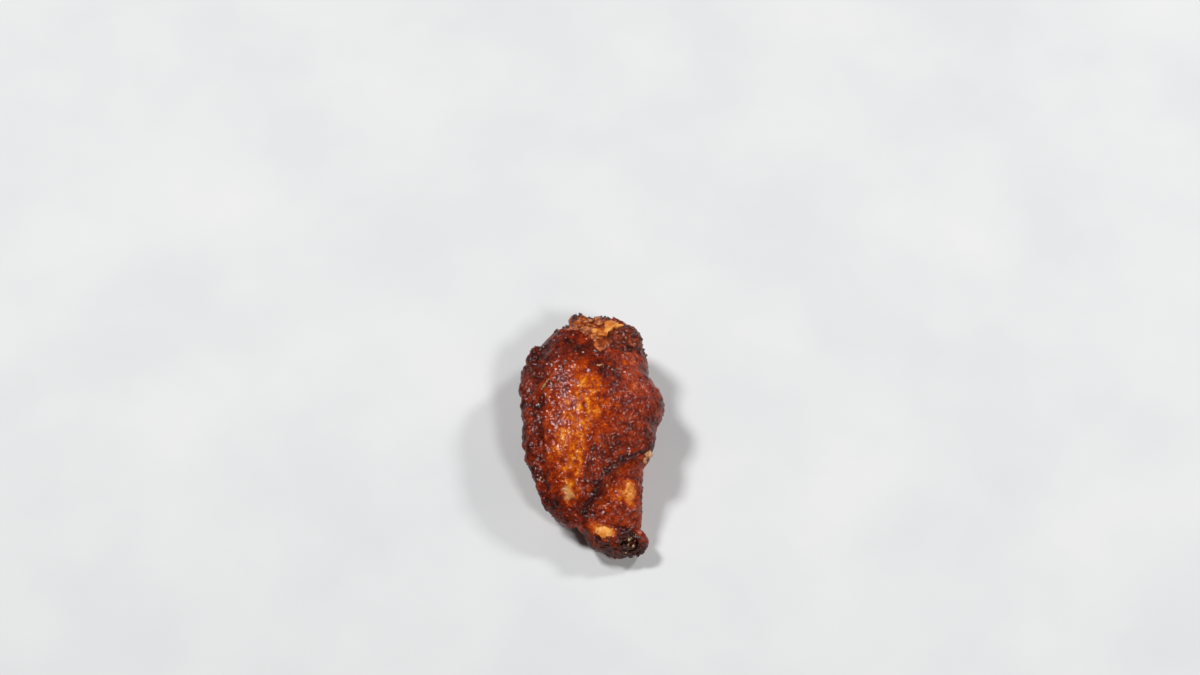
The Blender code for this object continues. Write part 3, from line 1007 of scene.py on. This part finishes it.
browning_and_shade = SKIN_BROWNING + swell(places, 6.0, shift=7.0) * 0.1 - flank_share(places) * 0.06
for path, radius, softness, wavering, added in BROWNED_AND_SHADED_AREAS:
    browning_and_shade += brush(places, path, radius, softness, waver * wavering) * added
golden_breaks = fade(swell(places, 3.4, shift=21.0), 0.05, 0.4)
browning_and_shade -= brush(places, RIM_CREASE, 3.0, 2.0, waver) * golden_breaks * 0.2

streaks = swell(slanted(places, 14.0), 2.4, stretch=(2.0, 0.8, 1.0), shift=3.3) * 0.75
streaks += swell(slanted(places, -24.0), 1.1, stretch=(1.6, 0.8, 1.0), shift=6.6) * 0.6
glaze = brush(places, GOLDEN_BAND, 5.4, 3.0)
browning_and_shade -= fade(streaks, 0.05, 0.5) * (0.03 + 0.2 * glaze)
browning_and_shade += fade(-streaks, 0.1, 0.5) * 0.09
browning_and_shade = np.where(window > 0.5, MEAT_BROWNING + swell(places, 1.8, shift=8.0) * 0.24, browning_and_shade)
# Painted shade between the pebbles: darker in the pits and lighter on the tops. The skin round the
# breaks in the crust is also painted darker.
browning_and_shade = browning_and_shade + inside_openings(places, 0.5) * 0.12 + (0.5 - pebble) * 0.05

fat = np.zeros(len(places))
for path, radius, softness, wavering, strength in PALE_FAT_AREAS:
    fat = np.maximum(fat, brush(places, path, radius, softness, waver * wavering) * strength)

# The crust of the cap and the knuckle is as brown and dry as bare meat, so it takes that tint
crusty = brush(places, KNUCKLE_CHAR, 5.0, 2.4, waver) * (1.0 - brush(places, KNUCKLE_YELLOW, 2.6, 1.2))
bare = np.maximum.reduce([window, inside_openings(places, 0.3) * 0.4, crusty * 0.5,
                          brush(places, CAP, 6.2, 0.8, waver * 0.4) * 0.55])
store(skin_mesh, "browning_and_shade", browning_and_shade)
store(skin_mesh, "bare_meat", bare)
store(skin_mesh, "pale_fat", fat)
# The pebbles' height, for the painted shade in the pits that the material draws
store(skin_mesh, "pebble", pebble * (0.35 + 0.65 * pebble_size))
print("browning from", round(browning_and_shade.min(), 2), "to", round(browning_and_shade.max(), 2))

# %% Paint the bone and the cartilage
bone_browning = 0.3 + swell(bone_places, 3.0, shift=2.0) * 0.2
bone_browning += brush(bone_places, CRATER, 4.4, 1.6) * 0.5
bone_browning -= brush(bone_places, KNUCKLE_YELLOW, 3.0, 1.8) * 0.24
store(bone_mesh, "browning_and_shade", bone_browning)
crescent_places = places_of(crescent_mesh)
crescent_browning = 0.25 + swell(crescent_places, 2.0, shift=2.0) * 0.3
crescent_browning += brush(crescent_places[:, :2], ((67.0, 1.0), (65.4, 3.4)), 3.0, 1.0) * 0.26
crescent_browning += brush(crescent_places[:, :2], ((71.6, 0.7), (72.6, 2.6)), 1.0, 0.6) * 0.14
store(crescent_mesh, "browning_and_shade", crescent_browning)
print("browning of the cartilage from", round(crescent_browning.min(), 2),
      "to", round(crescent_browning.max(), 2))

# %% [markdown]
# ## A helper for materials
#
# Materials are built in code as a list of nodes, which could also be drawn by hand in the shader
# editor. In code every value stays readable. One function adds any node, sets its values and
# links its inputs. Colours are sRGB hex values, as a colour picker shows them, and one function
# turns them into the linear values that the renderer works with.

# %% Helpers for nodes and colours
FOOD_IOR = 1.45


def linear(hex_colour, alpha=1.0):
    """An sRGB hex colour as linear red, green, blue and alpha."""
    channels = [int(hex_colour[i:i + 2], 16) / 255.0 for i in (1, 3, 5)]
    return (*[c / 12.92 if c <= 0.04045 else ((c + 0.055) / 1.055) ** 2.4 for c in channels], alpha)


def add_node(tree, kind, settings=None, inputs=None):
    """Adds a node; an input given as a socket is linked, and any other is set as a value."""
    made = tree.nodes.new(kind)
    for name, value in (settings or {}).items():
        setattr(made, name, value)
    for name, value in (inputs or {}).items():
        if isinstance(value, bpy.types.NodeSocket):
            tree.links.new(value, made.inputs[name])
        else:
            made.inputs[name].default_value = value
    return made


def fill_ramp(ramp, stops):
    """Puts hex colours at their positions on a colour ramp, and gives its colour output."""
    band = ramp.color_ramp
    while len(band.elements) < len(stops):
        band.elements.new(1.0)
    for element, (position, hex_colour) in zip(band.elements, stops):
        element.position = position
        element.color = linear(hex_colour)
    return ramp.outputs["Color"]


def weighted_sum(tree, base, terms, shift):
    """base + each socket times its weight + shift, as a chain of multiply-add nodes."""
    total = add_node(tree, "ShaderNodeMath", {"operation": "ADD"}, {0: base, 1: shift}).outputs[0]
    for socket, weight in terms:
        total = add_node(tree, "ShaderNodeMath", {"operation": "MULTIPLY_ADD"}, {
            0: socket, 1: weight, 2: total}).outputs[0]
    return total


def new_material(name):
    """A material without nodes, and its node tree."""
    made = bpy.data.materials.new(name)
    made.use_nodes = True
    made.node_tree.nodes.clear()
    return made, made.node_tree


def per_millimetre(size_mm):
    """A noise scale whose features are this many millimetres across."""
    return 1.0 / (size_mm * MM)


def dress(obj, material):
    """Gives an object this one material."""
    obj.data.materials.clear()
    obj.data.materials.append(material)


print("mid grey #808080 is", round(linear("#808080")[0], 3), "in linear light")

# %% [markdown]
# ## Fried skin
#
# Deep-frying dries skin to a thin, brittle layer, as brown as caramel and wet with oil. To the
# eye that gives mottled browns below and many small, hard sparkles on top. A single gloss value
# would give one broad shine. So the brown layer is nearly matt, the oil is a coat over it, and
# rounded grains in the bump break the coat's shine up. The real grains are hardly wider than a
# pixel of the picture, so they are drawn a little under a millimetre wide.

# %% Fried skin material
MOTTLE_WIDTH = 2.8
FINE_MOTTLE_WIDTH = 0.42
SOFT_BUMP_WIDTH = 0.75
GRAIN_WIDTH = 0.85
GRAIN_DRIFT = 0.8
SKIN_BUMP = 0.135
# Takes off what the noises add on average, so that the painted browning and shade stay about the same
RAMP_SHIFT = -0.785


def fried_skin():
    made, tree = new_material("deep_fried_skin")
    painted = {name: add_node(tree, "ShaderNodeAttribute", {"attribute_name": name}).outputs["Fac"]
               for name in ("browning_and_shade", "bare_meat", "pale_fat", "pebble")}
    coords = add_node(tree, "ShaderNodeTexCoord").outputs["Object"]
    mottle = add_node(tree, "ShaderNodeTexNoise", inputs={
        "Vector": coords, "Scale": per_millimetre(MOTTLE_WIDTH), "Detail": 4.0, "Roughness": 0.6})
    fine = add_node(tree, "ShaderNodeTexNoise", inputs={
        "Vector": coords, "Scale": per_millimetre(FINE_MOTTLE_WIDTH), "Detail": 2.0, "Roughness": 0.6})
    soft = add_node(tree, "ShaderNodeTexNoise", inputs={
        "Vector": coords, "Scale": per_millimetre(SOFT_BUMP_WIDTH), "Detail": 0.0})
    drift = add_node(tree, "ShaderNodeVectorMath", {"operation": "MULTIPLY_ADD"}, {
        0: mottle.outputs["Color"], 1: (GRAIN_DRIFT * MM,) * 3, 2: coords}).outputs["Vector"]
    grains = add_node(tree, "ShaderNodeTexVoronoi", inputs={
        "Vector": drift, "Scale": per_millimetre(GRAIN_WIDTH)})
    # The grains' Distance darkens the grooves between the grains, and the pebbles' height darkens the
    # pits: both are painted shade. The mottles and the grains' Color are the skin's own uneven tone.
    factor = weighted_sum(tree, painted["browning_and_shade"], (
        (mottle.outputs["Fac"], 0.9), (fine.outputs["Fac"], 0.55), (grains.outputs["Color"], 0.12),
        (grains.outputs["Distance"], 0.18), (painted["pebble"], -0.08)), RAMP_SHIFT)
    skin_colour = fill_ramp(add_node(tree, "ShaderNodeValToRGB", inputs={"Fac": factor}), (
        (0.0, "#f2a63c"), (0.12, "#de7c12"), (0.27, "#c05004"), (0.42, "#a03204"),
        (0.56, "#7e2207"), (0.72, "#561609"), (0.88, "#330f09"), (1.0, "#170705")))
    meat_colour = fill_ramp(add_node(tree, "ShaderNodeValToRGB", inputs={"Fac": factor}), (
        (0.0, "#e6a468"), (0.25, "#c66826"), (0.5, "#8e3a15"), (0.8, "#43150d")))
    fleshed = add_node(tree, "ShaderNodeMix", {"data_type": "RGBA"}, {
        0: painted["bare_meat"], 6: skin_colour, 7: meat_colour})
    glazed = add_node(tree, "ShaderNodeMix", {"data_type": "RGBA"}, {
        0: painted["pale_fat"], 6: fleshed.outputs[2], 7: linear("#f8c880")})

    height = weighted_sum(tree, grains.outputs["Distance"], ((soft.outputs["Fac"], -1.3),), 0.0)
    bump = add_node(tree, "ShaderNodeBump", {"invert": True}, {
        "Strength": 1.0, "Distance": SKIN_BUMP * MM, "Height": height})
    shader = add_node(tree, "ShaderNodeBsdfPrincipled", inputs={
        "Base Color": glazed.outputs[2], "Roughness": 0.5, "IOR": FOOD_IOR, "Specular IOR Level": 0.05,
        "Subsurface Weight": 0.08, "Subsurface Scale": 1.0 * MM, "Coat Weight": 0.54,
        "Coat Roughness": 0.085, "Normal": bump.outputs["Normal"],
        "Coat Normal": bump.outputs["Normal"]})
    shader.inputs["Subsurface Radius"].default_value = (1.0, 0.35, 0.12)
    add_node(tree, "ShaderNodeOutputMaterial", inputs={"Surface": shader.outputs["BSDF"]})
    return made


dress(skin, fried_skin())
print("fried skin:", len(skin_mesh.materials[0].node_tree.nodes), "nodes")

# %% [markdown]
# ## Cooked cartilage and bone
#
# Raw cartilage is white and glassy. Cooking makes it waxy and slightly see-through, and the hot
# oil turns it yellow-orange and browns it where it meets the crust. Plain orange would look like
# plastic, so light is let into the surface a little and the colour follows patches of browning.
# The bone's ends have the same cap of cartilage, so they share the material.

# %% Cartilage material
def cooked_cartilage():
    made, tree = new_material("cooked_cartilage")
    coords = add_node(tree, "ShaderNodeTexCoord").outputs["Object"]
    patches = add_node(tree, "ShaderNodeTexNoise", inputs={
        "Vector": coords, "Scale": per_millimetre(1.4), "Detail": 4.0, "Roughness": 0.6})
    browned = add_node(tree, "ShaderNodeAttribute", {"attribute_name": "browning_and_shade"})
    factor = weighted_sum(tree, browned.outputs["Fac"], ((patches.outputs["Fac"], 0.7),), -0.35)
    colour = fill_ramp(add_node(tree, "ShaderNodeValToRGB", inputs={"Fac": factor}), (
        (0.0, "#f2aa48"), (0.2, "#e58a2a"), (0.4, "#bb5a14"), (0.6, "#7a2e0c"), (0.85, "#2a1108")))
    fine = add_node(tree, "ShaderNodeTexNoise", inputs={
        "Vector": coords, "Scale": per_millimetre(0.5), "Detail": 3.0})
    bump = add_node(tree, "ShaderNodeBump", inputs={
        "Strength": 0.5, "Distance": 0.25 * MM, "Height": fine.outputs["Fac"]})
    shader = add_node(tree, "ShaderNodeBsdfPrincipled", inputs={
        "Base Color": colour, "Roughness": 0.36, "IOR": FOOD_IOR, "Subsurface Weight": 0.2,
        "Subsurface Scale": 1.5 * MM, "Coat Weight": 0.2, "Coat Roughness": 0.18,
        "Normal": bump.outputs["Normal"]})
    shader.inputs["Subsurface Radius"].default_value = (1.0, 0.5, 0.2)
    add_node(tree, "ShaderNodeOutputMaterial", inputs={"Surface": shader.outputs["BSDF"]})
    return made


cartilage = cooked_cartilage()
for piece in (bone, crescent):
    dress(piece, cartilage)
print("cartilage:", len(cartilage.node_tree.nodes), "nodes on the bone and the crescent")

# %% [markdown]
# ## Meat, scraps and char
#
# Cooked meat is fibrous and moist, a scrap of skin that hung free of the oil is limp and pale, a
# crumb of rendered fat is creamy, and char has dried out to a dull, brittle crust, nearly black
# with a brown tint. Each could have a material built from scratch, but they differ only in their
# colours, grain and gloss. So they share one recipe: a ramp of three or four colours over noise,
# with a bump of a finer one and a thin film of oil.

# %% Materials of the loose pieces
def mottled_food(name, stops, patch_mm, fine_mm, roughness, gloss):
    """A mottled cooked surface: colours by coarse noise, bump by fine noise, oil on top."""
    made, tree = new_material(name)
    coords = add_node(tree, "ShaderNodeTexCoord").outputs["Object"]
    patches = add_node(tree, "ShaderNodeTexNoise", inputs={
        "Vector": coords, "Scale": per_millimetre(patch_mm), "Detail": 4.0, "Roughness": 0.65})
    fine = add_node(tree, "ShaderNodeTexNoise", inputs={
        "Vector": coords, "Scale": per_millimetre(fine_mm), "Detail": 3.0})
    bump = add_node(tree, "ShaderNodeBump", inputs={
        "Strength": 0.6, "Distance": 0.2 * MM, "Height": fine.outputs["Fac"]})
    ramp = add_node(tree, "ShaderNodeValToRGB", inputs={"Fac": patches.outputs["Fac"]})
    shader = add_node(tree, "ShaderNodeBsdfPrincipled", inputs={
        "Base Color": fill_ramp(ramp, stops), "Roughness": roughness, "IOR": FOOD_IOR,
        "Subsurface Weight": 0.1, "Subsurface Scale": 1.0 * MM, "Coat Weight": gloss,
        "Coat Roughness": 0.16, "Normal": bump.outputs["Normal"],
        "Coat Normal": bump.outputs["Normal"]})
    shader.inputs["Subsurface Radius"].default_value = (1.0, 0.4, 0.15)
    add_node(tree, "ShaderNodeOutputMaterial", inputs={"Surface": shader.outputs["BSDF"]})
    return made


fried_meat = mottled_food("torn_fried_meat", (
    (0.32, "#e2a462"), (0.44, "#c06a2a"), (0.55, "#853414"), (0.68, "#3c130b")),
    patch_mm=1.1, fine_mm=0.4, roughness=0.42, gloss=0.4)
pale_skin = mottled_food("limp_skin_scrap", (
    (0.3, "#deae78"), (0.5, "#c08850"), (0.7, "#8a5028")),
    patch_mm=1.2, fine_mm=0.4, roughness=0.4, gloss=0.3)
pale_fat = mottled_food("rendered_fat_crumb", (
    (0.3, "#f0d2a4"), (0.55, "#dca468"), (0.75, "#b06a34")),
    patch_mm=0.6, fine_mm=0.3, roughness=0.35, gloss=0.4)
crust = mottled_food("browned_crumb", (
    (0.3, "#a8541c"), (0.45, "#7c2c0e"), (0.6, "#4c160b"), (0.75, "#230b07")),
    patch_mm=0.8, fine_mm=0.35, roughness=0.5, gloss=0.4)
char = mottled_food("charred_crust", (
    (0.3, "#6e3018"), (0.45, "#45190f"), (0.6, "#290f0a"), (0.75, "#160908")),
    patch_mm=0.9, fine_mm=0.35, roughness=0.5, gloss=0.25)
LOOSE_PIECES = ((torn_meat, fried_meat), (char_flakes, char), (crust_crumbs, crust),
                (pale_specks, pale_fat), (scraps, pale_skin), (hook, char))
for piece, material in LOOSE_PIECES:
    dress(piece, material)
    print(piece.name, "is", material.name)

# %% [markdown]
# ## Floor and light
#
# The table is a painted board, rolled on matt and very slightly cloudy, which gives the eye a
# plain, pale ground. One large soft light could do it all, but its reflection would lay a grey
# veil over the oil. Three smaller soft lights keep the sparkles hard: the key from behind on
# the left, a weaker one from the front right that fills the near side, and a small one from
# behind on the right that draws the far edge of the flank. A faint even sky lightens the rest.

# %% Floor
FLOOR_HALF = 1.5
CLOUD_WIDTH = 60.0


def pale_table():
    made, tree = new_material("pale_painted_table")
    coords = add_node(tree, "ShaderNodeTexCoord").outputs["Object"]
    clouds = add_node(tree, "ShaderNodeTexNoise", inputs={
        "Vector": coords, "Scale": per_millimetre(CLOUD_WIDTH), "Detail": 3.0})
    ramp = add_node(tree, "ShaderNodeValToRGB", inputs={"Fac": clouds.outputs["Fac"]})
    shader = add_node(tree, "ShaderNodeBsdfPrincipled", inputs={
        "Base Color": fill_ramp(ramp, ((0.3, "#dcdedf"), (0.7, "#e6e6e6"))), "Roughness": 0.7,
        "IOR": 1.45})
    add_node(tree, "ShaderNodeOutputMaterial", inputs={"Surface": shader.outputs["BSDF"]})
    return made


floor_bm = bmesh.new()
bmesh.ops.create_grid(floor_bm, x_segments=1, y_segments=1, size=FLOOR_HALF)
floor = mesh_object("table_top", floor_bm)
floor.data.materials.append(pale_table())
print("floor:", 2 * FLOOR_HALF, "m wide")

# %% Lights
SKY_STRENGTH = 0.06


def softbox(name, place, aim, size, watts):
    """A rectangular area light at a place, turned to its aim."""
    lamp = bpy.data.lights.new(name, "AREA")
    lamp.shape = "RECTANGLE"
    lamp.size, lamp.size_y = size
    lamp.energy = watts
    holder = new_object(name, lamp)
    holder.location = place
    holder.rotation_euler = (Vector(aim) - Vector(place)).to_track_quat("-Z", "Y").to_euler()


OVER_THE_FOOD = (0.0, 0.0, 0.01)
softbox("key_left", (-0.55, 0.3, 0.95), OVER_THE_FOOD, (0.24, 0.22), 8.0)
softbox("front_right", (0.45, -0.6, 0.9), OVER_THE_FOOD, (0.22, 0.2), 4.6)
softbox("edge_behind", (0.62, 0.4, 0.62), OVER_THE_FOOD, (0.14, 0.14), 3.2)

world = bpy.data.worlds.new("soft_studio")
world.use_nodes = True
sky = world.node_tree.nodes["Background"]
sky.inputs["Color"].default_value = (1.0, 1.0, 1.0, 1.0)
sky.inputs["Strength"].default_value = SKY_STRENGTH
bpy.context.scene.world = world
bpy.context.scene.view_settings.view_transform = "Standard"

# %% [markdown]
# ## Hand over to the frame
#
# The drumette has no joints, so every piece rides on the model's one body. The skin and the bone
# stand for their two solids, and the other pieces are added to them.

# %% Ride, replace and finish
PIECES = (
    (skin, "fried_skin"),
    (bone, "bone_and_cartilage"),
    (torn_meat, "fried_skin"),
    (crescent, "bone_and_cartilage"),
    (char_flakes, "fried_skin"),
    (crust_crumbs, "fried_skin"),
    (pale_specks, "fried_skin"),
    (scraps, "fried_skin"),
    (hook, "fried_skin"),
)
for piece, slot_name in PIECES:
    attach(piece, "root")
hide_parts("drumette_meat")
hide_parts("humerus_bone")
